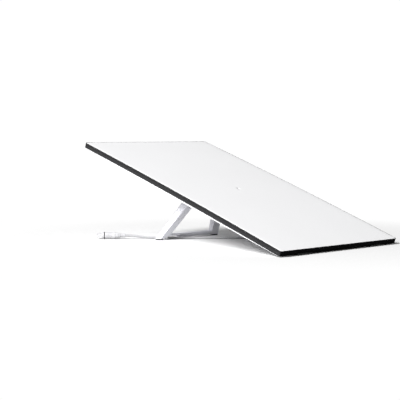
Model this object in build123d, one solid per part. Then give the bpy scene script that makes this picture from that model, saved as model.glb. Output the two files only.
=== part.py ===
"""A flat-panel satellite internet antenna: a crowned panel that stands on its lower edge and a kickstand.

Millimetres. Row frame: X across the panel, Y from its lower edge to its upper edge, Z up; the origin is on
the floor, at the middle of the box around the panel and its kickstand.
Panel frame: X across, Y up the slope from the band's lower back edge, Z out of the white face.
Stand frame: origin on the hinge axis, Z up along the kickstand's middle plane, Y out of its rear face.
"""

import math
import os

from build123d import *

# ---- panel ----
panel_width = 383.0
panel_length = 594.0
tilt = 19.87  # slope of the panel, in degrees
crown = 2.4  # rise of the face at the middle of its length
corner_radius = 5.0
rest_lift = 1.8  # the band's lower edge stands this far off the floor, on its pads
outline_height = 80.0  # tall enough to cut any layer of the panel

# ---- layers, as heights above the band's back surface ----
chassis_floor = 1.5
chassis_rim_top = 5.2
gasket_thickness = 0.4
band_height = 10.7
radome_thickness = 2.4
radome_lip = 0.8  # width of the dark lip around the radome
radome_gap = 0.15
adhesive_thickness = 0.3
band_wall = 6.0
gasket_inset = 0.35
gasket_width = 4.6
pad_thickness = 0.8
chip_height = 0.8
board_thickness = 1.2
spacer_thickness = 1.6
patch_thickness = 0.8
solder_gap = 0.02
stack_margin = 22.0

# ---- beamformer chips ----
chip_size = 8.0
chip_columns = 6
chip_rows = 9
chip_pitch_across = 54.0
chip_pitch_along = 58.0
thermal_pad_width = 14.0

# ---- rear cover ----
cover_depth = 26.6
cover_wall = 2.2
cover_rim_depth = 2.0
cover_rim_side = 3.0
cover_rim_end = 8.0
deck_side = 68.0  # distance from the side of the panel to the deck, the flat of the cover
deck_lower = 200.0
deck_upper = 544.0
cavity_margin = 22.5
seat_gap = 0.05
seal_margin = 9.0
seal_width = 3.0
seal_thickness = 0.5

# ---- cover screws ----
cover_screw_margin = 16.5
cover_screw_radius = 1.5
cover_screw_head = 2.8
cover_screw_seat = 1.6
cover_screw_reach = 4.2
screw_play = 0.05
head_play = 0.35
boss_radius = 4.0
cover_screw_rows = 4
cover_screw_end = 62.0

# ---- hinge ----
hinge_along = 372.6
hinge_depth = 15.5
barrel_radius = 10.0
barrel_half = 46.8
barrel_bore = 4.6
side_gap = 0.3
bush_flange = 0.9
bush_flange_radius = 8.5
bush_wall = 1.0
ear_thickness = 8.0
ear_radius = 9.0
ear_play = 0.8
pin_play = 0.06

# ---- bracket ----
bracket_thickness = 3.0
bracket_reach = 34.6  # from the hinge axis down the slope to the bracket's lower edge
bracket_depth = 21.5
bracket_screw_radius = 2.0
bracket_screw_head = 3.6
bracket_screw_head_height = 2.2
bracket_screw_across = (14.0, 42.0)
bracket_post_radius = 5.0

# ---- recess for the kickstand ----
recess_roof = 4.6
recess_margin = 4.0  # between the bracket's lower edge and the recess's
recess_half = 58.5
recess_play = 3.0

# ---- kickstand ----
stand_length = 135.0
foot_half = 95.2
arm_slope = 19.6  # lean of each arm towards the middle, in degrees
arm_width = 22.6
foot_thickness = 11.5
bar_top = 13.0
pad_height = 2.7
foot_pad_length = 12.0
foot_pad_spigot = 2.0
foot_pad_inset = 1.2
arch_middle = -54.0
arch_width = 46.0
arch_height = 7.4
arch_corner = 2.5
stand_edge = 1.6
bar_edge = 3.0

# ---- latches ----
pin_inner = 20.0
pin_reach = 55.0
tab_middle = 17.0
tab_width = 6.0
tab_thickness = 4.6
tab_root = 2.5
tab_end = 19.0
slot_play = 0.3
spring_wire = 0.9
spring_coils = 7
spring_play = 0.35

# ---- cable bay, socket and plugs ----
cable_diameter = 5.4
bay_middle = 74.0
bay_half = 12.0
bay_lower = 214.0
bay_upper = 332.0
bay_roof = 5.6
plug_depth = 17.0
plug_radius = 7.5
plug_length = 30.0
plug_nose_width = 11.6
plug_nose_height = 8.2
plug_nose_length = 11.0
plug_grip_ribs = 4
boot_length = 22.0
boot_tip_radius = 4.0
seal_ring_radius = 7.9
seal_ring_wire = 0.9
seal_ring_at = 6.0
socket_width = 20.0
socket_height = 14.2
socket_length = 18.0
socket_play = 0.3
cable_latch_width = 6.0
cable_latch_thickness = 1.2

# ---- front rest pads ----
rest_pad_across = 120.0
rest_pad_width = 36.0
rest_pad_along = 7.0
rest_pad_up = 3.0

# ---- vent ----
vent_across = -106.0
vent_along = 470.0
vent_radius = 6.0
vent_flange = 8.0
vent_height = 1.5

# ---- power and modem bay ----
power_board_middle = (-45.0, 236.0)
power_board_size = (140.0, 150.0)
power_board_top = 6.4
power_board_thickness = 1.6
power_post_inset = 6.0
board_screw_radius = 1.25
board_screw_head = 2.4
board_screw_head_height = 1.4
board_screw_length = 6.0

# ---- coil of put-away cable ----
coil_middle = (118.0, -51.5)
coil_radius = 48.8
coil_columns = 8
coil_layers = 6
coil_edge = 2.2

# ---- routes of the cable, in the row frame ----
drop_route = [
    (118.0, -119.2, 29.7),
    (99.0, -118.0, 30.2),
    (80.0, -108.5, 31.8),
    (70.0, -88.0, 36.5),
    (70.5, -66.5, 43.5),
    (73.5, -46.0, 55.0),
]
floor_route = [
    (118.0, 16.2, 2.7),
    (97.0, 16.4, 2.7),
    (75.5, 21.0, 2.7),
    (58.0, 33.4, 2.7),
    (26.6, 64.2, 2.7),
    (-25.0, 119.0, 2.7),
    (-74.0, 170.2, 2.7),
    (-99.0, 196.6, 4.4),
    (-112.0, 210.2, 7.6),
    (-123.5, 222.2, 7.6),
]
drop_last_run = 20.0


# ---- worked out from the sizes above ----
bracket_lower = hinge_along - bracket_reach
bracket_upper = bracket_lower + bracket_depth
recess_lower = bracket_lower - recess_margin
slope = math.radians(tilt)
crown_radius = (panel_length**2 / 4 + crown**2) / (2 * crown)
board_low = chassis_floor + pad_thickness + chip_height
board_high = board_low + board_thickness
spacer_high = board_high + spacer_thickness
patch_high = spacer_high + patch_thickness
radome_low = band_height - radome_thickness
frame_low = chassis_rim_top + gasket_thickness
middle_of_box = (panel_length * math.cos(slope) - band_height * math.sin(slope)) / 2
panel_place = Pos(0, -middle_of_box, rest_lift) * Rot(tilt, 0, 0)
hinge_y = hinge_along * math.cos(slope) + hinge_depth * math.sin(slope) - middle_of_box
hinge_z = hinge_along * math.sin(slope) - hinge_depth * math.cos(slope) + rest_lift
stand_lean = math.degrees(math.acos(hinge_z / stand_length))
stand_place = Pos(0, hinge_y, hinge_z) * Rot(stand_lean, 0, 0)
ear_inner = barrel_half + side_gap + bush_flange
ear_outer = ear_inner + ear_thickness


def crown_height(along, height):
    """Height, in the panel frame, of the crowned surface that lies this far above the band's back."""
    reach = crown_radius + height
    return crown - crown_radius + math.sqrt(reach**2 - (along - panel_length / 2) ** 2)


def outline(margin):
    """An upright block inside the panel's outline, this far from its edge."""
    radius = max(corner_radius - margin, 1.0)
    face = RectangleRounded(panel_width - 2 * margin, panel_length - 2 * margin, radius)
    return Pos(0, panel_length / 2, 0) * extrude(face, amount=outline_height, both=True)


def layer(low, high, margin):
    """A sheet of the crowned panel between two heights, this far inside its outline."""
    before, after = -outline_height / 2, panel_length + outline_height / 2
    middle = panel_length / 2

    def arc(height):
        points = [(0, along, crown_height(along, height)) for along in (before, middle, after)]
        return ThreePointArc(*points)

    lower, upper = arc(low), arc(high)
    ends = [Line(lower @ 0, upper @ 0), Line(lower @ 1, upper @ 1)]
    face = make_face([lower.edge(), upper.edge(), ends[0].edge(), ends[1].edge()])
    return extrude(face, amount=panel_width, both=True) & outline(margin)


def frame_of(low, high, margin, width):
    """A ring of the crowned panel, this wide, between two heights."""
    return layer(low, high, margin) - outline(margin + width)


def block(across, along, height):
    """A box in the panel frame from (low, high) pairs."""
    size = [pair[1] - pair[0] for pair in (across, along, height)]
    middle = [(pair[1] + pair[0]) / 2 for pair in (across, along, height)]
    return Pos(*middle) * Box(*size)


def post(across, along, low, high, radius):
    """An upright round post in the panel frame."""
    return Pos(across, along, (low + high) / 2) * Cylinder(radius, high - low)


def across_cylinder(radius, low, high):
    """A cylinder along X from low to high, on the X axis."""
    return Pos((low + high) / 2, 0, 0) * Rot(0, 90, 0) * Cylinder(radius, abs(high - low))


def in_panel(shape):
    return panel_place * shape


# ---- places of fasteners ----
def cover_screw_places():
    """Twelve screws around the rim: rows down both sides, and a pair at each end."""
    half = panel_width / 2 - cover_screw_margin
    low, high = cover_screw_margin, panel_length - cover_screw_margin
    step = (high - low) / (cover_screw_rows - 1)
    sides = [(side * half, low + row * step) for side in (-1, 1) for row in range(cover_screw_rows)]
    ends = [(side * cover_screw_end, along) for side in (-1, 1) for along in (low, high)]
    return sides + ends


def bracket_screw_places():
    along = (bracket_lower + bracket_upper) / 2
    return [(side * across, along) for side in (-1, 1) for across in bracket_screw_across]


def power_post_places():
    half_x = power_board_size[0] / 2 - power_post_inset
    half_y = power_board_size[1] / 2 - power_post_inset
    x, y = power_board_middle
    return [(x + i * half_x, y + j * half_y) for i in (-1, 1) for j in (-1, 1)]


def chip_places():
    for row in range(chip_rows):
        along = panel_length / 2 + (row - (chip_rows - 1) / 2) * chip_pitch_along
        for column in range(chip_columns):
            yield (column - (chip_columns - 1) / 2) * chip_pitch_across, along


def lean_at(along):
    """Lean of the crowned surface at this distance up the slope, in degrees."""
    return -math.degrees(math.asin((along - panel_length / 2) / crown_radius))


# ---- panel ----
def make_radome():
    return layer(radome_low, band_height, radome_lip + radome_gap)


def make_front_frame():
    ledge = frame_of(frame_low, radome_low - adhesive_thickness, 0, band_wall)
    lip = frame_of(frame_low, band_height, 0, radome_lip)
    return ledge + lip


def make_radome_adhesive():
    gap = radome_lip + radome_gap
    return frame_of(radome_low - adhesive_thickness, radome_low, gap, band_wall - gap)


def make_rim_gasket():
    return frame_of(chassis_rim_top, frame_low, gasket_inset, gasket_width)


def make_chassis():
    tray = layer(0, chassis_floor, 0) + frame_of(0, chassis_rim_top, 0, band_wall)
    for across, along in cover_screw_places():
        top = crown_height(along, chassis_rim_top - solder_gap)
        tray += post(across, along, crown_height(along, 0) + chassis_floor / 2, top, boss_radius)
    for across, along in bracket_screw_places():
        floor = crown_height(along, chassis_floor / 2)
        tray += post(across, along, cover_wall - recess_roof, floor, bracket_post_radius)
    for across, along in power_post_places():
        floor = crown_height(along, chassis_floor / 2)
        tray += post(across, along, -power_board_top, floor, boss_radius)
    for across, along in cover_screw_places():
        tip = crown_height(along, cover_screw_reach)
        radius = cover_screw_radius + screw_play
        tray -= post(across, along, -outline_height, tip, radius)
    for across, along in bracket_screw_places():
        tip = crown_height(along, 0)
        tray -= post(across, along, -outline_height, tip, bracket_screw_radius + screw_play)
    for across, along in power_post_places():
        low = -power_board_top - power_board_thickness
        tray -= post(across, along, low, low + board_screw_length, board_screw_radius + screw_play)
    return tray - rest_pad_notches()


def make_beamformer_board():
    return layer(board_low + solder_gap, board_high, stack_margin)


def make_spacer():
    return layer(board_high + solder_gap, spacer_high, stack_margin)


def make_patch_board():
    return layer(spacer_high + solder_gap, patch_high, stack_margin)


def make_beamformer_chips():
    low, high = board_low - chip_height + solder_gap, board_low - solder_gap
    chips = []
    for across, along in chip_places():
        place = Pos(across, along, crown_height(along, (low + high) / 2)) * Rot(lean_at(along), 0, 0)
        chips.append(place * Box(chip_size, chip_size, high - low))
    return chips


def make_thermal_pads():
    low, high = chassis_floor + solder_gap, chassis_floor + pad_thickness - solder_gap
    length = (chip_columns - 1) * chip_pitch_across + thermal_pad_width
    pads = []
    for row in range(chip_rows):
        along = panel_length / 2 + (row - (chip_rows - 1) / 2) * chip_pitch_along
        place = Pos(0, along, crown_height(along, (low + high) / 2)) * Rot(lean_at(along), 0, 0)
        pads.append(place * Box(length, thermal_pad_width, high - low))
    return pads


# ---- rear cover ----
def pan(wall):
    """The cover's tapered shape, drawn in by this wall."""
    half_rim = panel_width / 2 - cover_rim_side
    half_deck = panel_width / 2 - deck_side
    rim_middle = panel_length / 2
    deck_middle = (deck_lower + deck_upper) / 2
    rim = Plane.XY.offset(wall - cover_rim_depth) * Pos(0, rim_middle) * Rectangle(
        2 * half_rim, panel_length - 2 * cover_rim_end
    )
    deck = Plane.XY.offset(wall - cover_depth) * Pos(0, deck_middle) * Rectangle(
        2 * half_deck, deck_upper - deck_lower
    )
    return loft([rim.face(), deck.face()], ruled=True)


def recess(play):
    """The space that the folded kickstand takes, from its roof down past the deck."""
    reach = stand_length + foot_thickness / 2 * math.tan(math.radians(stand_lean)) + recess_play
    spread = math.tan(math.radians(arm_slope))
    knee = (recess_half - foot_half - recess_play) / spread + stand_length
    far_half = foot_half + (reach - stand_length) * spread + recess_play
    points = [
        (recess_half + play, recess_lower - play),
        (recess_half + play, hinge_along + knee),
        (far_half + play, hinge_along + reach + play),
    ]
    mirrored = [(-x, y) for x, y in reversed(points)]
    face = make_face(Polyline(*points, *mirrored, close=True).edges())
    roof = play - recess_roof
    return Pos(0, 0, roof) * extrude(face, amount=-outline_height)


def bay(play):
    """The space in which the antenna plug and the first of its cable lie."""
    across = (bay_middle - bay_half - play, bay_middle + bay_half + play)
    along = (bay_lower - play, bay_upper + play)
    return block(across, along, (-outline_height, play - bay_roof))


def make_rear_cover():
    rim = above_pan(-cover_rim_depth) & layer(-outline_height / 2, -seal_thickness, 0)
    body = pan(0) + rim
    hollow = (pan(cover_wall) + above_pan(cover_wall - cover_rim_depth)) & outline(cavity_margin)
    body -= hollow - recess(cover_wall) - bay(cover_wall)
    body -= recess(0)
    body -= bay(0)
    for across, along in cover_screw_places():
        seat = crown_height(along, -cover_screw_seat)
        body -= post(across, along, -outline_height, outline_height, cover_screw_radius + head_play)
        body -= post(across, along, -outline_height, seat, cover_screw_head + head_play)
    for across, along in bracket_screw_places():
        body -= post(across, along, -outline_height, outline_height, bracket_screw_radius + screw_play)
    nose = plug_nose_width + 2 * socket_play
    body -= block(
        (bay_middle - nose / 2, bay_middle + nose / 2),
        (bay_upper - 1, bay_upper + cover_wall + 1),
        (-plug_depth - nose / 2, -plug_depth + nose / 2),
    )
    body -= post(vent_across, vent_along, -outline_height, 0, vent_radius + socket_play)
    return body


def above_pan(low):
    """The block over the cover's rim rectangle, from this height up past the crown."""
    half_rim = panel_width / 2 - cover_rim_side
    along = (cover_rim_end, panel_length - cover_rim_end)
    return block((-half_rim, half_rim), along, (low, outline_height / 2))


def make_cover_seal():
    return frame_of(-seal_thickness, 0, seal_margin, seal_width)


def screw(radius, head_radius, head_height, length):
    """A screw with its head's bearing face at the origin, its shank up along Z and a hex socket."""
    head = Pos(0, 0, -head_height / 2) * Cylinder(head_radius, head_height)
    shank = Pos(0, 0, length / 2) * Cylinder(radius, length)
    drive = Pos(0, 0, -head_height) * extrude(RegularPolygon(head_radius * 0.5, 6), head_height * 0.6)
    return head + shank - drive


def make_cover_screws():
    length = cover_screw_reach + cover_screw_seat - 0.2
    one = screw(cover_screw_radius, cover_screw_head, cover_screw_seat, length)
    return [
        Pos(across, along, crown_height(along, -cover_screw_seat)) * one
        for across, along in cover_screw_places()
    ]


def make_vent_plug():
    outside = -cover_depth
    tip = outside - vent_height
    stem = post(vent_across, vent_along, tip, outside + 3 * cover_wall, vent_radius)
    flange = post(vent_across, vent_along, tip, outside, vent_flange)
    bore = post(vent_across, vent_along, tip, outside, vent_radius / 2)
    return stem + flange - bore


# ---- rest pads on the lower edge ----
def rest_pad_block(side, play):
    middle = side * rest_pad_across
    return block(
        (middle - rest_pad_width / 2 - play, middle + rest_pad_width / 2 + play),
        (-rest_pad_up, rest_pad_along + play),
        (-rest_pad_up * 2, rest_pad_up / 2 + play),
    )


def rest_pad_notches():
    return rest_pad_block(-1, 0) + rest_pad_block(1, 0)


def make_rest_pads():
    """Two rubber pads let into the lower edge, cut flat where they stand on the floor."""
    floor = Box(
        2 * panel_width, 2 * panel_length, outline_height, align=(Align.CENTER, Align.CENTER, Align.MAX)
    )
    front = Pos(0, -middle_of_box - 1.0, 0) * Box(
        2 * panel_width, 50, outline_height, align=(Align.CENTER, Align.MAX, Align.CENTER)
    )
    return [in_panel(rest_pad_block(side, 0)) - floor - front for side in (-1, 1)]


# ---- power and modem bay ----
def make_power_board():
    x, y = power_board_middle
    w, d = power_board_size
    low = -power_board_top - power_board_thickness
    board = block((x - w / 2, x + w / 2), (y - d / 2, y + d / 2), (low, -power_board_top))
    for across, along in power_post_places():
        board -= post(across, along, low - 1, 0, board_screw_radius + head_play)
    return board


def make_board_screws():
    low = -power_board_top - power_board_thickness
    one = screw(board_screw_radius, board_screw_head, board_screw_head_height, board_screw_length - 0.3)
    return [Pos(across, along, low) * one for across, along in power_post_places()]


def make_power_parts():
    """A transformer, two inductors, four capacitors and a controller on the power board."""
    x, y = power_board_middle
    top = -power_board_top - power_board_thickness
    parts = [block((x + 18, x + 44), (y + 20, y + 46), (top - 11, top))]
    parts += [block((x + 18, x + 31), (y + k, y + k + 13), (top - 7, top)) for k in (-12, 4)]
    parts += [post(x + 50, y - 12 + 14 * k, top - 12, top, 5) for k in range(4)]
    parts += [block((x + 34, x + 43), (y - 10, y - 1), (top - 1.2, top))]
    return parts


def make_shield_can():
    x, y = power_board_middle
    top = -power_board_top - power_board_thickness
    outer = block((x - 60, x - 4), (y - 20, y + 40), (top - 5, top))
    inner = block((x - 59.5, x - 4.5), (y - 19.5, y + 39.5), (top - 4.5, top))
    return outer - inner


def make_positioning_module():
    x, y = power_board_middle
    top = -power_board_top - power_board_thickness
    return block((x - 40, x - 22), (y + 46, y + 62), (top - 4, top))


# ---- cable socket and plugs ----
def plug_axis(along):
    """A place on the antenna plug's axis, in the panel frame, its Z up the slope."""
    return Pos(bay_middle, along, -plug_depth) * Rot(-90, 0, 0)


def make_cable_socket():
    place = plug_axis(bay_upper + cover_wall + socket_length / 2)
    body = place * Box(socket_width, socket_height, socket_length)
    mouth = plug_nose_length - cover_wall + 1.0
    hole = Box(
        plug_nose_width + 2 * socket_play,
        plug_nose_height + 2 * socket_play,
        mouth,
        align=(Align.CENTER, Align.CENTER, Align.MIN),
    )
    groove = Pos(0, -plug_nose_height / 2, 0) * Box(
        cable_latch_width + 2 * socket_play,
        2 * (cable_latch_thickness + socket_play),
        mouth,
        align=(Align.CENTER, Align.CENTER, Align.MIN),
    )
    return body - plug_axis(bay_upper + cover_wall) * (hole + groove)


def plug_body():
    """The plug's moulded grip, from its front face at the origin back along -Z."""
    grip = Pos(0, 0, -plug_length / 2) * Cylinder(plug_radius, plug_length)
    grip = chamfer(grip.edges().filter_by(GeomType.CIRCLE), 0.8)
    pitch = 3.2
    for rib in range(plug_grip_ribs):
        groove = Cylinder(plug_radius + 1, 1.2) - Cylinder(plug_radius - 0.6, 1.2)
        grip -= Pos(0, 0, -plug_length / 2 - (rib - 1.0) * pitch) * groove
    groove_width = 2 * seal_ring_wire
    ring = Cylinder(plug_radius + 1, groove_width) - Cylinder(seal_ring_radius - groove_width, groove_width)
    grip -= Pos(0, 0, -seal_ring_at) * ring
    nose = Pos(0, 0, plug_nose_length / 2) * Box(plug_nose_width, plug_nose_height, plug_nose_length)
    return grip + nose


def seal_ring():
    """A rubber ring in the groove behind the plug's front face."""
    outer = Cylinder(seal_ring_radius - solder_gap, 2 * seal_ring_wire - 0.1)
    inner = Cylinder(seal_ring_radius - 2 * seal_ring_wire + solder_gap, 9)
    return Pos(0, 0, -seal_ring_at) * (outer - inner)


def plug_boot():
    """The tapered strain relief behind the plug, bored for the cable's end."""
    cone = Cone(plug_radius - 0.8, boot_tip_radius, boot_length)
    body = Pos(0, 0, -plug_length - boot_length / 2) * Rot(180, 0, 0) * cone
    for ring in range(3):
        slot = Cylinder(plug_radius, 1.0) - Cylinder(boot_tip_radius - 0.4, 1.0)
        body -= Pos(0, 0, -plug_length - 7.0 - 4.0 * ring) * slot
    return body


def cable_latch():
    """The sprung tongue under the plug's nose that clicks into the socket."""
    length = plug_nose_length - 2.0
    high = plug_nose_height / 2
    return Pos(0, -high - cable_latch_thickness / 2, length / 2 + 0.5) * Box(
        cable_latch_width, cable_latch_thickness, length
    )


boot_end_along = bay_upper - plug_length - boot_length


def router_plug_place():
    """The floor end's plug, in line with the last run of the cable."""
    before, end = Vector(*floor_route[-2]), Vector(*floor_route[-1])
    heading = (end - before).normalized()
    face = end + heading * (plug_length + boot_length)
    return Location(Plane(origin=face, x_dir=heading.cross(Vector(0, 0, 1)), z_dir=heading))


# ---- cable ----
def drop_points():
    """The hanging stretch: from the coil's top turn up to the antenna boot, in line with the plug."""
    end = panel_place * plug_axis(boot_end_along)
    heading = (panel_place * plug_axis(boot_end_along + 1)).position - end.position
    before = end.position - heading * drop_last_run
    return [Vector(*p) for p in drop_route] + [before, end.position]


def cable_tube(name, points):
    """A round tube along straight runs joined by arcs as large as the runs allow."""
    points = [Vector(*p) for p in points]
    radii = []
    for a, b, c in zip(points, points[1:], points[2:]):
        turn = math.radians((b - a).get_angle(c - b))
        radii.append(0.45 * min((b - a).length, (c - b).length) / math.tan(turn / 2))
    path = FilletPolyline(*points, radius=radii)
    start = Plane(origin=path @ 0, z_dir=path % 0)
    tube = sweep(start * Circle(cable_diameter / 2), path=path)
    share = tube.volume / (math.pi * cable_diameter**2 / 4 * path.length)
    print(name, "length", round(path.length, 1), "volume share", round(share, 4))
    print("  radii", [round(radius, 1) for radius in radii])
    return tube


def make_coil():
    """The outer shape of the put-away coil: a ring of square section on the floor."""
    half = coil_columns * cable_diameter / 2
    height = coil_layers * cable_diameter
    ring = Cylinder(coil_radius + half, height) - Cylinder(coil_radius - half, height)
    ring = fillet(ring.edges().filter_by(GeomType.CIRCLE), coil_edge)
    return Pos(coil_middle[0], coil_middle[1], height / 2) * ring


# ---- hinge ----
def hinge_in_panel(shape):
    return Pos(0, hinge_along, -hinge_depth) * shape


def make_hinge_bracket():
    plate = block(
        (-ear_outer, ear_outer),
        (bracket_lower, bracket_upper),
        (-recess_roof - bracket_thickness, -recess_roof - seat_gap),
    )
    bracket = plate
    for side in (-1, 1):
        low, high = sorted((side * ear_inner, side * ear_outer))
        web = block((low, high), (bracket_lower, hinge_along), (-hinge_depth, -recess_roof - seat_gap))
        bracket += web + hinge_in_panel(across_cylinder(ear_radius, low, high))
        bore = across_cylinder(barrel_bore + bush_wall, low, high)
        bracket -= hinge_in_panel(bore)
    for across, along in bracket_screw_places():
        bracket -= post(across, along, -outline_height, 0, bracket_screw_radius + head_play)
    return bracket


def make_hinge_bushes():
    bushes = []
    for side in (-1, 1):
        low, high = sorted((side * ear_inner, side * ear_outer))
        flange_low, flange_high = sorted((side * (ear_inner - bush_flange), side * ear_inner))
        sleeve = across_cylinder(barrel_bore + bush_wall - solder_gap, low, high)
        flange = across_cylinder(bush_flange_radius, flange_low, flange_high)
        bore = across_cylinder(barrel_bore, min(low, flange_low), max(high, flange_high))
        bushes.append(hinge_in_panel(sleeve + flange - bore))
    return bushes


def make_bracket_screws():
    length = recess_roof + bracket_thickness - 0.3
    one = screw(bracket_screw_radius, bracket_screw_head, bracket_screw_head_height, length)
    seat = -recess_roof - bracket_thickness
    return [Pos(across, along, seat) * one for across, along in bracket_screw_places()]


# ---- kickstand ----
def stand_wedge():
    """The kickstand's side view carried across: thin at the foot, as thick as the barrel at the hinge."""
    extra = 30.0
    growth = (barrel_radius - foot_thickness / 2) / stand_length

    def half(up):
        return foot_thickness / 2 + growth * up

    low, high = -stand_length - extra, 0.0
    points = [
        (0, -half(-extra), low),
        (0, half(-extra), low),
        (0, half(stand_length), high),
        (0, -half(stand_length), high),
    ]
    face = make_face(Polyline(*points, close=True).edges())
    return extrude(face, amount=2 * foot_half, both=True)


def stand_outline(points):
    """A front view, as points across and up from the hinge axis, carried through the kickstand."""
    face = make_face(Polyline(*[(x, 0, z) for x, z in points], close=True).edges())
    return extrude(face, amount=4 * barrel_radius, both=True)


def arm_points(side):
    """One arm's front view, from below the floor to the hinge axis."""
    rise = math.tan(math.radians(arm_slope))
    drop = 30.0
    low, high = -stand_length - drop, 0.0
    foot = foot_half + drop * rise
    top = foot_half - stand_length * rise
    return [
        (side * foot, low),
        (side * (foot - arm_width), low),
        (side * (top - arm_width), high),
        (side * top, high),
    ]


def above(height):
    """Everything above this height over the floor."""
    size = 4 * panel_length
    return Pos(0, 0, height) * Box(size, size, size, align=(Align.CENTER, Align.CENTER, Align.MIN))


def make_stand_frame():
    wedge = stand_wedge()
    arms = [stand_place * (wedge & stand_outline(arm_points(side))) for side in (-1, 1)]
    rise = math.tan(math.radians(arm_slope))
    spread = foot_half + 30.0 * rise
    narrow = foot_half - 60.0 * rise
    bar_points = [
        (-spread, -stand_length - 30.0),
        (spread, -stand_length - 30.0),
        (narrow, -stand_length + 60.0),
        (-narrow, -stand_length + 60.0),
    ]
    bar = (stand_place * (wedge & stand_outline(bar_points))) - above(bar_top)
    top_edges = bar.edges().filter_by(lambda e: e.length > foot_half and e.center().Z > bar_top - 0.5)
    bar = fillet(top_edges, bar_edge)
    frame = arms[0] + arms[1]
    long_edges = frame.edges().filter_by(lambda e: e.length > stand_length / 2)
    frame = fillet(long_edges, stand_edge)
    frame += bar
    frame += stand_place * across_cylinder(barrel_radius, -barrel_half, barrel_half)
    frame &= above(pad_height)
    frame -= stand_place * across_cylinder(barrel_bore, -barrel_half - 1, barrel_half + 1)
    for side in (-1, 1):
        low, high = sorted((side * barrel_half, side * foot_half))
        frame -= stand_place * across_cylinder(ear_radius + ear_play, low, high)
    slot_half = tab_middle + tab_width / 2 + slot_play
    slot = Pos(0, 0, -barrel_radius) * Box(2 * slot_half, tab_thickness + 2 * slot_play, 2 * barrel_radius)
    frame -= stand_place * slot
    frame -= cable_arch()
    frame -= foot_pad_spigots(slot_play / 2)
    return frame


def cable_arch():
    """The opening under the foot through which the cable runs."""
    width, height = arch_width, 2 * arch_height
    face = Plane.XZ * RectangleRounded(width, height, arch_corner)
    return Pos(arch_middle, 0, 0) * extrude(face, amount=panel_length, both=True)


def foot_pad_middle(side):
    """Where the foot meets the floor, in the row frame."""
    foot_y = hinge_y + stand_length * math.sin(math.radians(stand_lean))
    return Vector(side * (foot_half - foot_pad_inset - foot_pad_length / 2), foot_y, 0)


def foot_pad_spigots(play):
    radius = 2.5 + play
    height = pad_height + foot_pad_spigot + play
    peg = Pos(0, 0, height / 2) * Cylinder(radius, height)
    return Pos(foot_pad_middle(-1)) * peg + Pos(foot_pad_middle(1)) * peg


def make_foot_pad(side):
    """One rubber pad, as deep as the foot, with the spigot that holds it."""
    depth = foot_thickness / math.cos(math.radians(stand_lean)) - 1.0
    pad = Pos(foot_pad_middle(side)) * Pos(0, 0, pad_height / 2) * Box(
        foot_pad_length, depth, pad_height - solder_gap
    )
    pad = fillet(pad.edges().filter_by(Axis.Z), 1.5)
    spigot = Pos(foot_pad_middle(side)) * Pos(0, 0, (pad_height + foot_pad_spigot) / 2 + 0.5)
    return pad + spigot * Cylinder(2.5, pad_height + foot_pad_spigot - 1.0)


# ---- latches ----
def make_latch_pin(side):
    radius = barrel_bore - pin_play
    low, high = sorted((side * pin_inner, side * pin_reach))
    pin = across_cylinder(radius, low, high)
    inner = across_cylinder(radius, *sorted((side * (tab_middle - tab_width / 2 - 1), side * pin_inner)))
    pin += inner
    pin = chamfer(pin.edges().filter_by(GeomType.CIRCLE), 0.6)
    return stand_place * (pin - tab_block(side, tab_thickness, 0.0))


def tab_block(side, thickness, grow):
    height = tab_end - tab_root
    middle = Pos(side * tab_middle, 0, -tab_root - height / 2)
    return middle * Box(tab_width + grow, thickness + grow, height + grow)


def make_latch_tab(side):
    tab = tab_block(side, tab_thickness, -2 * solder_gap)
    ends = tab.edges().filter_by(Axis.Y).sort_by(Axis.Z)[:2]
    return stand_place * fillet(ends, 1.5)


def make_latch_spring():
    half = tab_middle - tab_width / 2 - 1 - spring_play
    radius = barrel_bore - spring_play - spring_wire
    height = 2 * half - spring_wire
    path = Helix(pitch=height / spring_coils, height=height, radius=radius)
    start = Plane(origin=path @ 0, z_dir=path % 0)
    coil = sweep(start * Circle(spring_wire / 2), path=path, is_frenet=True)
    return stand_place * (Rot(0, 90, 0) * (Pos(0, 0, -height / 2) * coil))


# ---- write every node ----
os.makedirs("parts", exist_ok=True)


def write(name, shape):
    """Writes one node, from a shape or a list of separate solids."""
    if isinstance(shape, list):
        shape = Compound(children=[piece.solid() for piece in shape])
    shape.label = name
    export_step(shape, os.path.join("parts", name + ".step"))


write("radome", in_panel(make_radome()))
write("radome_adhesive", in_panel(make_radome_adhesive()))
write("front_frame", in_panel(make_front_frame()))
write("rim_gasket", in_panel(make_rim_gasket()))
write("chassis", in_panel(make_chassis()))
write("patch_board", in_panel(make_patch_board()))
write("spacer", in_panel(make_spacer()))
write("beamformer_board", in_panel(make_beamformer_board()))
write("beamformer_chips", [in_panel(chip) for chip in make_beamformer_chips()])
write("thermal_pads", [in_panel(pad) for pad in make_thermal_pads()])
write("rear_cover", in_panel(make_rear_cover()))
write("cover_seal", in_panel(make_cover_seal()))
write("cover_screws", [in_panel(one) for one in make_cover_screws()])
write("vent_plug", in_panel(make_vent_plug()))
write("rest_pads", make_rest_pads())
write("power_board", in_panel(make_power_board()))
write("power_parts", [in_panel(one) for one in make_power_parts()])
write("shield_can", in_panel(make_shield_can()))
write("positioning_module", in_panel(make_positioning_module()))
write("board_screws", [in_panel(one) for one in make_board_screws()])
write("cable_socket", in_panel(make_cable_socket()))
write("hinge_bracket", in_panel(make_hinge_bracket()))
write("hinge_bushes", [in_panel(one) for one in make_hinge_bushes()])
write("bracket_screws", [in_panel(one) for one in make_bracket_screws()])
write("stand_frame", make_stand_frame())
write("latch_spring", make_latch_spring())
for side, word in ((-1, "left"), (1, "right")):
    write("foot_pad_" + word, make_foot_pad(side))
    write("latch_pin_" + word, make_latch_pin(side))
    write("latch_tab_" + word, make_latch_tab(side))
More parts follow.
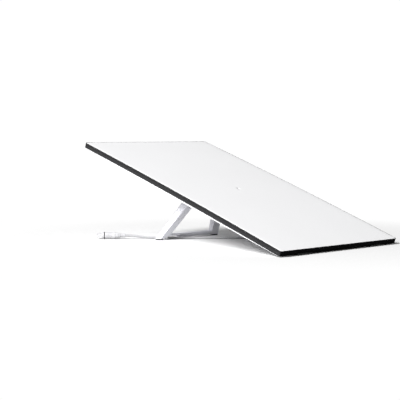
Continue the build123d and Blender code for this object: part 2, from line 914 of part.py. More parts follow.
for word, place in (
    ("antenna", panel_place * plug_axis(bay_upper)),
    ("router", router_plug_place()),
):
    write(word + "_plug", place * plug_body())
    write(word + "_plug_seal", place * seal_ring())
    write(word + "_plug_boot", place * plug_boot())
    write(word + "_plug_latch", place * cable_latch())
write("cable_drop", cable_tube("cable_drop", drop_points()))
write("cable_floor", cable_tube("cable_floor", floor_route))
write("cable_coil", make_coil())
turns = coil_columns * coil_layers - 0.5
print("coil", round(turns * 2 * math.pi * coil_radius), "mm in", turns, "turns")
print("stand lean", round(stand_lean, 2), "hinge", round(hinge_y, 2), round(hinge_z, 2))
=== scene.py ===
"""The looks of a flat-panel satellite internet antenna on its kickstand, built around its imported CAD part.

Metres, in the row frame: X across the panel, Y from its lower edge to its raised edge, Z up from the floor.
"""

import logging
import math
from dataclasses import dataclass, field
from enum import Enum

import bpy
import numpy as np
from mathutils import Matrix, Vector


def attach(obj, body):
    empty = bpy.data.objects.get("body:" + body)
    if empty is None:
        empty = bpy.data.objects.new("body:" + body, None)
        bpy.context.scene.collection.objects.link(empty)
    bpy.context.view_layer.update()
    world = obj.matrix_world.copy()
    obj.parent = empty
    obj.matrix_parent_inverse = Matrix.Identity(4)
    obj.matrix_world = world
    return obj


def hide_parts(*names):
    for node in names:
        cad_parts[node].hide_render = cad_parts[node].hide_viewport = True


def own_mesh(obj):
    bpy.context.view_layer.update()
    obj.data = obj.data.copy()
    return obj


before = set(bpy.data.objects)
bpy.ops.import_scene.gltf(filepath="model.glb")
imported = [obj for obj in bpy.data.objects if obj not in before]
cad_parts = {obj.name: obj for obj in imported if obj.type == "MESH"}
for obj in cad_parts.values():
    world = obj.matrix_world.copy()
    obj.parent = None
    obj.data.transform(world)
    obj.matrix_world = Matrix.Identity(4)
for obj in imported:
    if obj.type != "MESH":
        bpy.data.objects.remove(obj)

logger = logging.getLogger("antenna")
MM = 0.001
EDGE_BEVEL_SEGMENTS = 2
EDGE_BEVEL_ANGLE = math.radians(50)
# Faces that look down the slope more than this get painted shade.
PAINTED_SHADE_FACING = 0.72


class Body(str, Enum):
    """Rigid bodies that the remade pieces ride on."""

    ANTENNA = "antenna"
    KICKSTAND = "kickstand"


# ---- finishes ----
@dataclass(frozen=True)
class Finish:
    """One surface finish, as numbers for a procedural material.

    Attributes:
        name: Name of the material.
        colour: Base colour as an sRGB hex string.
        roughness: Middle of the roughness, from 0 to 1.
        spread: How far the roughness wanders either side of its middle.
        grain: Size of the fine texture, in metres.
        relief: Height of the fine texture, in metres.
        mottle: How much the colour wanders, as a share of its value.
        patch: Size of the colour's wandering, in metres.
        metallic: 0 for plastic and rubber, 1 for bare metal.
        specular: Strength of the plain reflection, where 0.5 is usual plastic.
        sheen: Strength of the soft sheen of rubbery surfaces.
    """

    name: str
    colour: str
    roughness: float = 0.5
    spread: float = 0.05
    grain: float = 0.6 * MM
    relief: float = 0.01 * MM
    mottle: float = 0.02
    patch: float = 40 * MM
    metallic: float = 0.0
    specular: float = 0.5
    sheen: float = 0.0


WHITE_FACE = Finish("white_face", "#E7E7E8", 0.42, 0.04, 0.9 * MM, 0.008 * MM, 0.006, 120 * MM)
WHITE_COVER = Finish("white_cover", "#E4E4E6", 0.5, 0.05, 0.7 * MM, 0.02 * MM, 0.01, 90 * MM)
DARK_BAND = Finish("dark_band", "#0C0C0E", 0.62, 0.08, 0.5 * MM, 0.03 * MM, 0.10, 25 * MM, specular=0.35)
DARK_CHASSIS = Finish("dark_chassis", "#141416", 0.6, 0.08, 0.4 * MM, 0.03 * MM, 0.10, 25 * MM, specular=0.4)
# Painted shade: a darker, duller black for faces that look down the slope, which lie in shade.
PAINTED_SHADE_BLACK = Finish("painted_shade_black", "#060607", 0.85, 0.05, 0.5 * MM, 0.03 * MM, 0.10, 25 * MM, specular=0.03)
SEAM_GREY = Finish("seam_grey", "#3A3A3C", 0.7, 0.05, 0.4 * MM, 0.01 * MM, 0.05, 10 * MM)
BLACK_RUBBER = Finish("black_rubber", "#1A1A1A", 0.8, 0.06, 0.5 * MM, 0.03 * MM, 0.08, 8 * MM, sheen=0.1)
GREY_RUBBER = Finish("grey_rubber", "#8E8E8E", 0.8, 0.06, 0.5 * MM, 0.02 * MM, 0.05, 10 * MM)
BOARD_GREEN = Finish("board_green", "#1F5636", 0.35, 0.08, 1.2 * MM, 0.02 * MM, 0.12, 6 * MM)
FOAM = Finish("foam", "#E6E4DA", 0.95, 0.03, 0.8 * MM, 0.08 * MM, 0.05, 5 * MM, specular=0.2)
CHIP_BLACK = Finish("chip_black", "#17171A", 0.55, 0.08, 0.3 * MM, 0.01 * MM, 0.05, 4 * MM)
STAND_WHITE = Finish("stand_white", "#D6D6DC", 0.45, 0.05, 0.7 * MM, 0.015 * MM, 0.01, 60 * MM)
STEEL = Finish("steel", "#A9A9AC", 0.34, 0.1, 0.25 * MM, 0.008 * MM, 0.05, 6 * MM, metallic=1.0)
TIN = Finish("tin", "#BDBDBD", 0.4, 0.1, 0.6 * MM, 0.01 * MM, 0.05, 10 * MM, metallic=1.0)
BUSH = Finish("bush", "#C9C7BE", 0.35, 0.05, 0.4 * MM, 0.01 * MM, 0.03, 8 * MM)
TAB_GREY = Finish("tab_grey", "#5B5B5E", 0.55, 0.06, 0.5 * MM, 0.02 * MM, 0.04, 8 * MM)
CABLE_GREY = Finish("cable_grey", "#A9A9AB", 0.5, 0.06, 0.8 * MM, 0.01 * MM, 0.03, 30 * MM, sheen=0.15)
PLUG_GREY = Finish("plug_grey", "#BFBFC1", 0.48, 0.05, 0.5 * MM, 0.02 * MM, 0.02, 12 * MM)
SOCKET_BLACK = Finish("socket_black", "#161616", 0.6, 0.05, 0.5 * MM, 0.02 * MM, 0.05, 8 * MM)


def linear_colour(hex_colour: str) -> tuple[float, float, float, float]:
    """Turns an sRGB hex colour into the linear colour that shaders take.

    Args:
        hex_colour: Six hex digits after a hash sign.

    Returns:
        Linear red, green and blue, and an alpha of 1.
    """
    srgb = np.array([int(hex_colour[k : k + 2], 16) for k in (1, 3, 5)]) / 255
    linear = np.where(srgb <= 0.04045, srgb / 12.92, ((srgb + 0.055) / 1.055) ** 2.4)
    return (*linear.tolist(), 1.0)


def add_node(tree: bpy.types.NodeTree, kind: str, **inputs: object) -> bpy.types.Node:
    """Adds a shader node and fills its inputs.

    Args:
        tree: The material's node tree.
        kind: The node's class name.
        inputs: Socket names, with underscores for spaces, and either values or sockets to link from.

    Returns:
        The new node.
    """
    node = tree.nodes.new(kind)
    for key, value in inputs.items():
        socket = node.inputs[key.replace("_", " ")]
        if isinstance(value, bpy.types.NodeSocket):
            tree.links.new(value, socket)
        else:
            socket.default_value = value
    return node


@dataclass
class Paintbox:
    """Makes each finish's material once and hands it out.

    Attributes:
        made: The materials made so far, by name.
        least_roughness: The smoothest that any finish gets.
        patch_detail: Detail of the colour's and roughness's wandering.
        grain_detail: Detail of the fine texture.
        grain_strength: Strength of the fine texture.
    """

    made: dict[str, bpy.types.Material] = field(default_factory=dict)
    least_roughness: float = 0.02
    patch_detail: float = 3.0
    grain_detail: float = 2.0
    grain_strength: float = 0.6

    def material(self, finish: Finish) -> bpy.types.Material:
        """Gives the material of a finish.

        Args:
            finish: The finish to paint with.

        Returns:
            A procedural material in Object coordinates.
        """
        if finish.name not in self.made:
            self.made[finish.name] = self.build(finish)
        return self.made[finish.name]

    def build(self, finish: Finish) -> bpy.types.Material:
        """Builds the node tree of a finish.

        Args:
            finish: The finish to build.

        Returns:
            The new material.
        """
        material = bpy.data.materials.new(finish.name)
        material.use_nodes = True
        tree = material.node_tree
        tree.nodes.clear()
        place = add_node(tree, "ShaderNodeTexCoord").outputs["Object"]
        shader = add_node(
            tree,
            "ShaderNodeBsdfPrincipled",
            Metallic=finish.metallic,
            Specular_IOR_Level=finish.specular,
            Sheen_Weight=finish.sheen,
        )
        wander = add_node(
            tree, "ShaderNodeTexNoise", Vector=place, Scale=1 / finish.patch, Detail=self.patch_detail
        )
        low, high = finish.roughness - finish.spread, finish.roughness + finish.spread
        rough = add_node(
            tree,
            "ShaderNodeMapRange",
            Value=wander.outputs["Fac"],
            To_Min=max(low, self.least_roughness),
            To_Max=min(high, 1.0),
        )
        tree.links.new(rough.outputs["Result"], shader.inputs["Roughness"])
        tint = add_node(
            tree,
            "ShaderNodeMapRange",
            Value=wander.outputs["Fac"],
            To_Min=1 - finish.mottle,
            To_Max=1 + finish.mottle,
        )
        colour = add_node(
            tree,
            "ShaderNodeHueSaturation",
            Color=linear_colour(finish.colour),
            Value=tint.outputs["Result"],
        )
        tree.links.new(colour.outputs["Color"], shader.inputs["Base Color"])
        if finish.relief > 0:
            fine = add_node(
                tree, "ShaderNodeTexNoise", Vector=place, Scale=1 / finish.grain, Detail=self.grain_detail
            )
            bump = add_node(
                tree,
                "ShaderNodeBump",
                Height=fine.outputs["Fac"],
                Distance=finish.relief,
                Strength=self.grain_strength,
            )
            tree.links.new(bump.outputs["Normal"], shader.inputs["Normal"])
        output = add_node(tree, "ShaderNodeOutputMaterial")
        tree.links.new(shader.outputs["BSDF"], output.inputs["Surface"])
        return material


PAINTS = Paintbox()


@dataclass(frozen=True)
class Look:
    """How one CAD node is shown.

    Attributes:
        slot: The record's material slot; not used.
        finish: The finish it is painted with.
        bevel: Width of the softened edges, in metres, or 0 for none.
    """

    slot: str
    finish: Finish
    bevel: float = 0.0


CAD_LOOKS = {
    "radome_adhesive": Look("grey_rubber", GREY_RUBBER),
    "chassis": Look("dark_chassis", DARK_CHASSIS),
    "patch_board": Look("circuit_board", BOARD_GREEN),
    "spacer": Look("foam", FOAM),
    "beamformer_board": Look("circuit_board", BOARD_GREEN),
    "beamformer_chips": Look("chip_black", CHIP_BLACK),
    "thermal_pads": Look("grey_rubber", GREY_RUBBER),
    "rear_cover": Look("white_cover", WHITE_COVER),
    "cover_seal": Look("black_rubber", BLACK_RUBBER),
    "cover_screws": Look("steel", STEEL),
    "vent_plug": Look("grey_rubber", GREY_RUBBER, 0.3 * MM),
    "rest_pads": Look("black_rubber", BLACK_RUBBER, 0.4 * MM),
    "power_board": Look("circuit_board", BOARD_GREEN),
    "power_parts": Look("chip_black", CHIP_BLACK, 0.3 * MM),
    "shield_can": Look("tin_can", TIN),
    "positioning_module": Look("tin_can", TIN, 0.3 * MM),
    "board_screws": Look("steel", STEEL),
    "cable_socket": Look("socket_black", SOCKET_BLACK, 0.3 * MM),
    "hinge_bracket": Look("steel", STEEL, 0.3 * MM),
    "hinge_bushes": Look("bush_plastic", BUSH),
    "bracket_screws": Look("steel", STEEL),
    "stand_frame": Look("stand_white", STAND_WHITE),
    "foot_pad_left": Look("black_rubber", BLACK_RUBBER, 0.3 * MM),
    "foot_pad_right": Look("black_rubber", BLACK_RUBBER, 0.3 * MM),
    "latch_pin_left": Look("steel", STEEL),
    "latch_pin_right": Look("steel", STEEL),
    "latch_tab_left": Look("tab_grey", TAB_GREY, 0.3 * MM),
    "latch_tab_right": Look("tab_grey", TAB_GREY, 0.3 * MM),
    "antenna_plug": Look("plug_grey", PLUG_GREY, 0.2 * MM),
    "antenna_plug_seal": Look("black_rubber", BLACK_RUBBER),
    "antenna_plug_boot": Look("plug_grey", PLUG_GREY, 0.2 * MM),
    "antenna_plug_latch": Look("plug_grey", PLUG_GREY),
    "router_plug": Look("plug_grey", PLUG_GREY, 0.2 * MM),
    "router_plug_seal": Look("black_rubber", BLACK_RUBBER),
    "router_plug_boot": Look("plug_grey", PLUG_GREY, 0.2 * MM),
    "router_plug_latch": Look("plug_grey", PLUG_GREY),
}


# ---- making objects and meshes ----
def linked_object(name: str, data: bpy.types.ID) -> bpy.types.Object:
    """Makes an object and puts it in the scene.

    Args:
        name: Name of the object.
        data: Its mesh, curve, lamp or camera.

    Returns:
        The new object, at the origin, unturned and unscaled.
    """
    thing = bpy.data.objects.new(name, data)
    bpy.context.scene.collection.objects.link(thing)
    return thing


def mesh_piece(
    name: str, points: np.ndarray, quads: np.ndarray, finish: Finish
) -> bpy.types.Object:
    """Makes a smooth-shaded piece from whole arrays.

    Args:
        name: Name of the piece.
        points: Corners, one row each, in metres in the row frame.
        quads: Corner numbers of each face, four to a row.
        finish: The finish it is painted with.

    Returns:
        The new object, at the origin, unturned and unscaled.
    """
    mesh = bpy.data.meshes.new(name)
    mesh.from_pydata(points.tolist(), [], quads.tolist())
    mesh.polygons.foreach_set("use_smooth", np.ones(len(mesh.polygons), bool))
    mesh.materials.append(PAINTS.material(finish))
    mesh.validate()
    mesh.update()
    piece = linked_object(name, mesh)
    return piece


@dataclass(frozen=True)
class PanelFrame:
    """The panel's own coordinates: across, up the slope, and out of the white face.

    Attributes:
        width: Width across.
        length: Length up the slope.
        tilt: Slope, in degrees.
        crown: Rise of the face at the middle of its length.
        corner: Radius of the outline's corners.
        lift: Height of the band's lower edge over the floor.
        band: Depth of the band around the panel.
        least_corner: The sharpest that a corner gets inside the outline.
    """

    width: float = 383.0 * MM
    length: float = 594.0 * MM
    tilt: float = 19.87
    crown: float = 2.4 * MM
    corner: float = 5.0 * MM
    lift: float = 1.8 * MM
    band: float = 10.7 * MM
    least_corner: float = 0.6 * MM

    def rise(self, along: np.ndarray, height: np.ndarray | float) -> np.ndarray:
        """Height of a crowned layer.

        Args:
            along: Distances up the slope.
            height: Height of the layer over the band's back.

        Returns:
            Heights in the panel's own frame.
        """
        radius = (self.length**2 / 4 + self.crown**2) / (2 * self.crown)
        return self.crown - radius + np.sqrt((radius + height) ** 2 - (along - self.length / 2) ** 2)

    def to_row(self, across: np.ndarray, along: np.ndarray, out: np.ndarray) -> np.ndarray:
        """Turns panel coordinates into the row frame.

        Args:
            across: Distances across.
            along: Distances up the slope.
            out: Heights out of the back plane.

        Returns:
            Points, one row each.
        """
        slope = math.radians(self.tilt)
        middle = (self.length * math.cos(slope) - self.band * math.sin(slope)) / 2
        y = along * math.cos(slope) - out * math.sin(slope) - middle
        z = along * math.sin(slope) + out * math.cos(slope) + self.lift
        return np.stack([across, y, z], axis=-1).reshape(-1, 3)

    def outline(self, margin: float, per_corner: int = 8, per_side: int = 40) -> np.ndarray:
        """A closed rounded rectangle inside the panel's outline.

        Args:
            margin: Distance inside the outline.
            per_corner: Steps around each corner.
            per_side: Steps along each side.

        Returns:
            Points across and along, one row each.
        """
        radius = max(self.corner - margin, self.least_corner)
        half = np.array([self.width / 2 - margin, self.length / 2 - margin])
        turns = np.radians(np.array([0, 90, 180, 270]))
        quarter = math.pi / 2
        signs = np.array([[1, 1], [-1, 1], [-1, -1], [1, -1]])
        arc = np.linspace(0, quarter, per_corner + 1)
        pieces = []
        for turn, sign, after in zip(turns, signs, np.roll(signs, -1, axis=0)):
            centre = sign * (half - radius)
            bend = centre + radius * np.stack([np.cos(turn + arc), np.sin(turn + arc)], axis=-1)
            toward = np.array([math.cos(turn + quarter), math.sin(turn + quarter)])
            ahead = after * (half - radius) + radius * toward
            share = np.linspace(0, 1, per_side + 1)[1:-1, None]
            pieces += [bend, bend[-1] + share * (ahead - bend[-1])]
        points = np.concatenate(pieces)
        points[:, 1] += self.length / 2
        return points


PANEL = PanelFrame()


def ring_quads(rings: int, steps: int, closed: bool) -> np.ndarray:
    """Faces between rings of points.

    Args:
        rings: Number of rings.
        steps: Points in each ring.
        closed: Whether the last ring joins the first.

    Returns:
        Corner numbers, four to a row.
    """
    ring = np.arange(rings if closed else rings - 1)
    step = np.arange(steps)
    a = (ring[:, None] * steps + step[None, :]).ravel()
    b = (ring[:, None] * steps + (step[None, :] + 1) % steps).ravel()
    over = steps * rings
    return np.stack([a, b, (b + steps) % over, (a + steps) % over], axis=-1)


def crowned_piece(
    name: str, loops: list[tuple[np.ndarray, float]], finish: Finish
) -> bpy.types.Object:
    """Makes a closed piece of the panel from loops that lie on its crowned layers.

    Args:
        name: Name of the piece.
        loops: Points across and along with the height of their layer, for each loop going round the section.
        finish: The finish it is painted with.

    Returns:
        The new piece.
    """
    rows = [PANEL.to_row(p[:, 0], p[:, 1], PANEL.rise(p[:, 1], height)) for p, height in loops]
    quads = ring_quads(len(rows), len(loops[0][0]), closed=True)
    return mesh_piece(name, np.concatenate(rows), quads, finish)


def paint_shade_on_lower_faces(piece: bpy.types.Object) -> None:
    """Paints shade on the faces that look down the slope: they get a darker, duller black than the band,
    standing in for the shade they lie in.

    Args:
        piece: A piece of the band, or a CAD node of it.
    """
    mesh = piece.data
    mesh.materials.append(PAINTS.material(PAINTED_SHADE_BLACK))
    normals = np.empty(len(mesh.polygons) * 3)
    mesh.polygons.foreach_get("normal", normals)
    slope = math.radians(PANEL.tilt)
    facing = normals.reshape(-1, 3) @ np.array([0.0, -math.cos(slope), -math.sin(slope)])
    mesh.polygons.foreach_set("material_index", (facing > PAINTED_SHADE_FACING).astype(np.int32))


@dataclass(frozen=True)
class FaceSkin:
    """The white radome: a crowned sheet with a rounded edge, closed beneath.

    Attributes:
        margin: Distance of its edge inside the panel's outline.
        low: Height of its back.
        high: Height of its face.
        edge: Radius of the rounded edge.
        rings: Rings from the edge to the middle of the face.
        bends: Loops around the rounded edge.
        crowding: How far the rings crowd towards the edge, where 1 is even.
        tip: Share of the rim's size that the last ring keeps.
        back_shares: Shares of the rim's size that the rings of the back have.
    """

    margin: float = 0.95 * MM
    low: float = 8.3 * MM
    high: float = 10.7 * MM
    edge: float = 0.7 * MM
    rings: int = 30
    bends: int = 6
    crowding: float = 0.8
    tip: float = 0.002
    back_shares: tuple[float, ...] = (0.002, 0.5)

    def build(self) -> bpy.types.Object:
        """Builds the radome in place of its CAD node.

        Returns:
            The radome.
        """
        bends = np.linspace(0, math.pi / 2, self.bends)
        margins = [self.margin, *(self.margin + self.edge * (1 - np.cos(bends)))]
        heights = [self.low, *(self.high - self.edge * (1 - np.sin(bends)))]
        loops = [(PANEL.outline(m), h) for m, h in zip(margins, heights)]
        rim = loops[-1][0]
        middle = np.array([0.0, PANEL.length / 2])
        for share in np.linspace(0, 1, self.rings + 1)[1:] ** self.crowding:
            loops.append((middle + (rim - middle) * max(1 - share, self.tip), self.high))
        back = [(middle + (loops[0][0] - middle) * share, self.low) for share in self.back_shares]
        piece = crowned_piece("face", back + loops, WHITE_FACE)
        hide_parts("radome")
        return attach(piece, Body.ANTENNA.value)


@dataclass(frozen=True)
class HalfSpring:
    """Half of the latch spring, which on the real stand shortens towards the middle as its own latch slides
    in; here it is built at one length.

    Attributes:
        side: -1 for the left half and 1 for the right half.
        reach: Distance from the middle of the spring to its end.
        radius: Radius of the coils' centre line.
        wire: Radius of the wire.
        turns: Turns in this half.
        travel: Distance that the latch slides; not used.
        middle: Middle of the spring, on the hinge axis.
        rings: Rings along the wire.
        sides: Sides of the wire.
    """

    side: int
    reach: float = 12.2 * MM
    radius: float = 3.35 * MM
    wire: float = 0.45 * MM
    turns: float = 3.5
    travel: float = 9.0 * MM
    middle: tuple[float, float, float] = (0.0, 78.186 * MM, 113.865 * MM)
    rings: int = 169
    sides: int = 8

    def build(self) -> bpy.types.Object:
        """Builds the half in place of the CAD spring.

        Returns:
            The half spring.
        """
        steps = np.linspace(0, 1, self.rings)
        turn = steps * self.turns * 2 * math.pi
        around = np.linspace(0, 2 * math.pi, self.sides + 1)[:-1]
        outward = self.radius + self.wire * np.cos(around)[None, :]
        across = self.side * (steps[:, None] * self.reach) + self.wire * np.sin(around)[None, :]
        ahead = outward * np.cos(turn)[:, None]
        up = self.side * outward * np.sin(turn)[:, None]
        rows = np.stack((across, ahead, up), axis=-1)
        points = rows.reshape(-1, 3) + np.array(self.middle)
        name = "spring_left" if self.side < 0 else "spring_right"
        quads = ring_quads(self.rings, self.sides, closed=False)
        piece = mesh_piece(name, points, quads, STEEL)
        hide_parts("latch_spring")
        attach(piece, Body.KICKSTAND.value)
        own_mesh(piece)
        return piece


@dataclass(frozen=True)
class RimBand:
    """A ring around the panel with one cross-section.

    Attributes:
        name: Name of the piece.
        section: Corners of the section, as distance inside the outline and height, going round.
        finish: The finish it is painted with.
        slot: The record's material slot; not used.
        node: The CAD node it stands for.
        soften: Length that a rounded corner takes off each side of the section.
        most: Largest share of a side that one corner takes, as a divisor of its length.
        blends: Places along each rounded corner.
    """

    name: str
    section: tuple[tuple[float, float], ...]
    finish: Finish
    slot: str
    node: str
    soften: float
    most: float = 2.2
    blends: tuple[float, ...] = (0.0, 0.33, 0.67, 1.0)

    def rounded(self) -> list[np.ndarray]:
        """Rounds the section's corners.

        Returns:
            Points of the section, going round.
        """
        corners = [np.array(c) * MM for c in self.section]
        points = []
        for before, corner, after in zip(corners[-1:] + corners[:-1], corners, corners[1:] + corners[:1]):
            back, ahead = before - corner, after - corner
            to_back, to_ahead = np.linalg.norm(back), np.linalg.norm(ahead)
            cut = min(self.soften, to_back / self.most, to_ahead / self.most)
            start = corner + back / to_back * cut
            end = corner + ahead / to_ahead * cut
            for share in self.blends:
                blend = (1 - share) ** 2 * start + 2 * share * (1 - share) * corner + share**2 * end
                points.append(blend)
        return points

    def build(self) -> bpy.types.Object:
        """Builds the ring in place of its CAD node.

        Returns:
            The ring.
        """
        loops = [(PANEL.outline(float(point[0])), float(point[1])) for point in self.rounded()]
        piece = crowned_piece(self.name, loops, self.finish)
        # Painted shade on the faces that look down the slope.
        paint_shade_on_lower_faces(piece)
        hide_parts(self.node)
        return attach(piece, Body.ANTENNA.value)


BANDS = (
    RimBand(
        "lip_band",
        ((0.0, 5.62), (0.0, 10.68), (0.78, 10.68), (0.8, 7.98), (5.98, 7.98), (5.98, 5.62)),
        DARK_BAND,
        "dark_band",
        "front_frame",
        0.35 * MM,
    ),
    RimBand(
        "seam",
        ((0.35, 5.22), (0.35, 5.58), (4.93, 5.58), (4.93, 5.22)),
        SEAM_GREY,
        "grey_rubber",
        "rim_gasket",
        0.1 * MM,
    ),
)


# ---- cable ----
# Curve points from below the plug's boot to the top of the coil, in millimetres.
HANG_POINTS = (
    (73.5, -46.0, 55.0),
    (70.5, -66.5, 43.5),
    (70.0, -88.0, 36.5),
    (80.0, -108.5, 31.8),
    (99.0, -118.0, 30.2),
)
# Curve points from the foot of the coil, through the arch in the foot bar, to the router plug's boot.
FLOOR_POINTS = (
    (97.0, 16.4, 2.7),
    (75.5, 21.0, 2.7),
    (58.0, 33.4, 2.7),
    (26.6, 64.2, 2.7),
    (-25.0, 119.0, 2.7),
    (-74.0, 170.2, 2.7),
    (-99.0, 196.6, 4.4),
    (-112.0, 210.2, 7.6),
    (-123.5, 222.2, 7.6),
)


@dataclass(frozen=True)
class NetworkCable:
    """The free network cable: one line from the antenna plug through the put-away coil to the router plug.

    Attributes:
        diameter: Thickness of the cable.
        length: Real length of the cable; not used.
        coil_middle: Middle of the coil on the floor.
        coil_radius: Mean radius of the coil.
        columns: Turns side by side in each layer.
        layers: Layers of the coil.
        per_turn: Curve points to a turn.
        plug_across: Place of the antenna plug across the panel.
        plug_out: Height of the plug's axis in the panel's own frame, behind the band's back.
        boot_end: Place up the slope where the cable leaves the boot.
        straight: Length that it runs straight from there.
        cross_over: Share of a turn in which it climbs down to the next layer.
    """

    diameter: float = 5.4 * MM
    length: float = 15.0
    coil_middle: tuple[float, float] = (118.0 * MM, -51.5 * MM)
    coil_radius: float = 48.8 * MM
    columns: int = 8
    layers: int = 6
    per_turn: int = 20
    plug_across: float = 74.0 * MM
    plug_out: float = -17.0 * MM
    boot_end: float = 280.0 * MM
    straight: float = 20.0 * MM
    cross_over: float = 0.5

    def drop(self) -> np.ndarray:
        """Points from the antenna plug's boot down to the coil.

        Returns:
            Points, one row each, in metres.
        """
        along = np.array([self.boot_end, self.boot_end - self.straight])
        across = np.full(2, self.plug_across)
        ends = PANEL.to_row(across, along, np.full(2, self.plug_out))
        return np.concatenate([ends, np.array(HANG_POINTS) * MM])

    def coil(self) -> np.ndarray:
        """Points of the coil, from its top outer turn to its bottom outer turn.

        Returns:
            Points, one row each, in metres.
        """
        half = (self.columns - 1) / 2 * self.diameter
        inner, outer = self.coil_radius - half, self.coil_radius + half
        wind = self.columns - 1
        turn_count = self.columns * self.layers - self.cross_over
        turns = np.linspace(0, turn_count, int(turn_count * self.per_turn) + 1)
        layer = np.minimum((turns // self.columns).astype(int), self.layers - 1)
        within = turns - layer * self.columns
        share = np.clip(within / wind, 0, 1)
        inward = layer % 2 == 0
        radius = np.where(inward, outer + (inner - outer) * share, inner + (outer - inner) * share)
        settle = np.clip((within - wind - self.cross_over) / self.cross_over, 0, 1)
        settle = np.where(layer == self.layers - 1, 0.0, settle * settle * (3 - 2 * settle))
        height = (self.layers - 0.5 - layer - settle) * self.diameter
        angle = -math.pi / 2 + 2 * math.pi * turns
        # A curve of order 3 cuts inside its points, so they stand this much outside the turn.
        reach = radius * 8 / (6 + 2 * math.cos(2 * math.pi / self.per_turn))
        x = self.coil_middle[0] + reach * np.cos(angle)
        y = self.coil_middle[1] + reach * np.sin(angle)
        return np.stack([x, y, height], axis=-1)

    def build(self) -> bpy.types.Object:
        """Builds the cable as one curve in place of its CAD nodes.

        Returns:
            The cable.
        """
        points = np.concatenate([self.drop(), self.coil(), np.array(FLOOR_POINTS) * MM])
        curve = bpy.data.curves.new("cable", "CURVE")
        curve.dimensions = "3D"
        curve.bevel_depth = self.diameter / 2
        curve.bevel_resolution = 4
        curve.use_fill_caps = True
        spline = curve.splines.new("NURBS")
        spline.points.add(len(points) - 1)
        spline.points.foreach_set("co", np.column_stack([points, np.ones(len(points))]).ravel())
        spline.order_u = 3
        spline.use_endpoint_u = True
        spline.resolution_u = 3
        spline.use_smooth = True
        curve.materials.append(PAINTS.material(CABLE_GREY))
        cable = linked_object("cable", curve)
        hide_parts("cable_drop", "cable_coil", "cable_floor")
        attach(cable, Body.ANTENNA.value)
        logger.info("cable has %d points", len(points))
        return cable


# ---- the CAD nodes that are shown as they are ----
def dress_cad_nodes() -> None:
    """Paints every carried-over CAD node, softens its edges, and paints shade on the chassis faces that look
    down the slope.
    """
    for name, look in CAD_LOOKS.items():
        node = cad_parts[name]
        node.data.materials.clear()
        node.data.materials.append(PAINTS.material(look.finish))
        if look.bevel > 0:
            bevel = node.modifiers.new("soft_edges", "BEVEL")
            bevel.width = look.bevel
            bevel.segments = EDGE_BEVEL_SEGMENTS
            bevel.limit_method = "ANGLE"
            bevel.angle_limit = EDGE_BEVEL_ANGLE
            bevel.use_clamp_overlap = True
    # Painted shade on the chassis faces that look down the slope.
    paint_shade_on_lower_faces(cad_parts["chassis"])


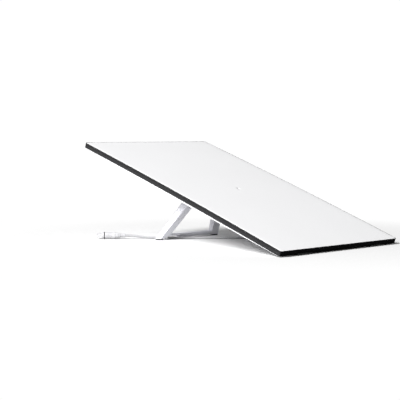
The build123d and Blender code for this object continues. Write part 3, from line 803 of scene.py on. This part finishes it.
# ---- stage ----
@dataclass(frozen=True)
class Studio:
    """Floor, light and camera.

    Attributes:
        eye: Where the camera stands.
        aim: The point at the middle of the picture.
        lens: Focal length in millimetres, on a 36 mm sensor.
        sky: Strength of the white light at the horizon.
        sky_stops: Share of that strength at each sine of the height over the horizon.
        wash_middle: Middle of the part of the floor that takes shadows.
        wash_reach: How far that part reaches across and along.
        wash_start: Share of that reach where the floor starts to wash out to white.
        shade_zone_grey: Share of the light that the floor gives back close to the antenna; this grey is
            painted shade that deepens the shadows there.
        wash_strength: Brightness of the washed-out floor.
        floor_reach: Distance from the middle of the floor to each side.
        key_place: Where the lamp hangs.
        key_aim: Where the lamp points.
        key_size: Length of the lamp's side.
        key_power: Power of the lamp, in watts.
    """

    eye: tuple[float, float, float] = (-1.9088, -1.7042, 0.2375)
    aim: tuple[float, float, float] = (-0.4089, -0.2775, 0.1181)
    lens: float = 106.8
    sky: float = 1.02
    wash_middle: tuple[float, float, float] = (0.05, 0.0, 0.0)
    wash_reach: tuple[float, float] = (0.8, 0.8)
    wash_start: float = 0.35
    shade_zone_grey: float = 0.7
    wash_strength: float = 1.02
    floor_reach: float = 30.0
    key_place: tuple[float, float, float] = (-7.5, 0.5, 5.4)
    key_aim: tuple[float, float, float] = (0.0, 0.0, 0.1)
    key_size: float = 3.0
    key_power: float = 1640.0
    sky_stops: tuple[tuple[float, float], ...] = (
        (0.0, 1.0),
        (0.13, 1.0),
        (0.17, 0.16),
        (0.6, 0.16),
        (0.8, 0.25),
    )

    def floor(self) -> None:
        """Lays the floor: grey close to the antenna, as painted shade, and plain white around it."""
        corners = np.array([(-1, -1, 0), (1, -1, 0), (1, 1, 0), (-1, 1, 0)]) * self.floor_reach
        mesh = bpy.data.meshes.new("floor")
        mesh.from_pydata(corners.tolist(), [], [(0, 1, 2, 3)])
        mesh.materials.append(self.floor_material())
        linked_object("floor", mesh)

    def floor_material(self) -> bpy.types.Material:
        """Makes the floor: close to the antenna it is grey, painted shade that deepens the shadows it takes,
        and around it it washes out to plain white.

        Returns:
            The floor's material.
        """
        material = bpy.data.materials.new("floor")
        material.use_nodes = True
        tree = material.node_tree
        tree.nodes.clear()
        place = add_node(tree, "ShaderNodeTexCoord").outputs["Object"]
        spread = add_node(tree, "ShaderNodeVectorMath", Vector=place)
        spread.operation = "SUBTRACT"
        spread.inputs[1].default_value = self.wash_middle
        scaled = add_node(tree, "ShaderNodeVectorMath", Vector=spread.outputs["Vector"])
        scaled.operation = "MULTIPLY"
        scaled.inputs[1].default_value = (1 / self.wash_reach[0], 1 / self.wash_reach[1], 0.0)
        reach = add_node(tree, "ShaderNodeVectorMath", Vector=scaled.outputs["Vector"])
        reach.operation = "LENGTH"
        wash = add_node(
            tree, "ShaderNodeMapRange", Value=reach.outputs["Value"], From_Min=self.wash_start, From_Max=1.0
        )
        wash.interpolation_type = "SMOOTHSTEP"
        # Painted shade: close to the antenna the floor is grey, so the shadows on it come out deeper.
        matt = add_node(tree, "ShaderNodeBsdfDiffuse", Color=(self.shade_zone_grey,) * 3 + (1.0,))
        white = add_node(
            tree, "ShaderNodeEmission", Color=(1.0, 1.0, 1.0, 1.0), Strength=self.wash_strength
        )
        mix = add_node(tree, "ShaderNodeMixShader")
        tree.links.new(wash.outputs["Result"], mix.inputs[0])
        tree.links.new(matt.outputs["BSDF"], mix.inputs[1])
        tree.links.new(white.outputs["Emission"], mix.inputs[2])
        output = add_node(tree, "ShaderNodeOutputMaterial")
        tree.links.new(mix.outputs["Shader"], output.inputs["Surface"])
        return material

    def light(self) -> None:
        """Sets a white sky, bright near the horizon, and one soft lamp above and to the left."""
        world = bpy.data.worlds.new("studio")
        world.use_nodes = True
        tree = world.node_tree
        tree.nodes.clear()
        heading = add_node(tree, "ShaderNodeTexCoord").outputs["Generated"]
        parts = add_node(tree, "ShaderNodeSeparateXYZ", Vector=heading)
        ramp = add_node(tree, "ShaderNodeValToRGB", Fac=parts.outputs["Z"])
        ramp.color_ramp.elements.remove(ramp.color_ramp.elements[1])
        ramp.color_ramp.elements[0].position = self.sky_stops[0][0]
        for place, _ in self.sky_stops[1:]:
            ramp.color_ramp.elements.new(place)
        for stop, (_, share) in zip(ramp.color_ramp.elements, self.sky_stops):
            stop.color = (share, share, share, 1.0)
        sky = add_node(tree, "ShaderNodeBackground", Color=ramp.outputs["Color"], Strength=self.sky)
        out = add_node(tree, "ShaderNodeOutputWorld")
        tree.links.new(sky.outputs["Background"], out.inputs["Surface"])
        bpy.context.scene.world = world
        data = bpy.data.lights.new("key", "AREA")
        data.energy = self.key_power
        data.size = self.key_size
        lamp = linked_object("key", data)
        self.point(lamp, self.key_place, self.key_aim)

    def point(
        self,
        thing: bpy.types.Object,
        place: tuple[float, float, float],
        aim: tuple[float, float, float],
    ) -> None:
        """Stands a lamp or camera at one place and turns it towards another.

        Args:
            thing: The lamp or camera.
            place: Where it stands.
            aim: Where it points.
        """
        thing.location = place
        thing.rotation_euler = (Vector(aim) - Vector(place)).to_track_quat("-Z", "Y").to_euler()

    def camera(self) -> None:
        """Places the camera low, in front of the antenna and to its left."""
        data = bpy.data.cameras.new("camera")
        data.lens = self.lens
        data.sensor_width = 36.0
        data.clip_start, data.clip_end = 0.05, 200.0
        data.dof.use_dof = False
        camera = linked_object("camera", data)
        self.point(camera, self.eye, self.aim)
        bpy.context.scene.camera = camera

    def build(self) -> None:
        """Sets the whole stage."""
        self.floor()
        self.light()
        self.camera()
        bpy.context.scene.view_settings.view_transform = "Standard"


def main() -> None:
    """Builds the whole picture around the CAD frame."""
    logging.basicConfig(level=logging.INFO)
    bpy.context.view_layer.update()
    dress_cad_nodes()
    FaceSkin().build()
    for band in BANDS:
        band.build()
    for side in (-1, 1):
        HalfSpring(side).build()
    NetworkCable().build()
    Studio().build()
    bpy.context.view_layer.update()


if __name__ == "__main__":
    main()
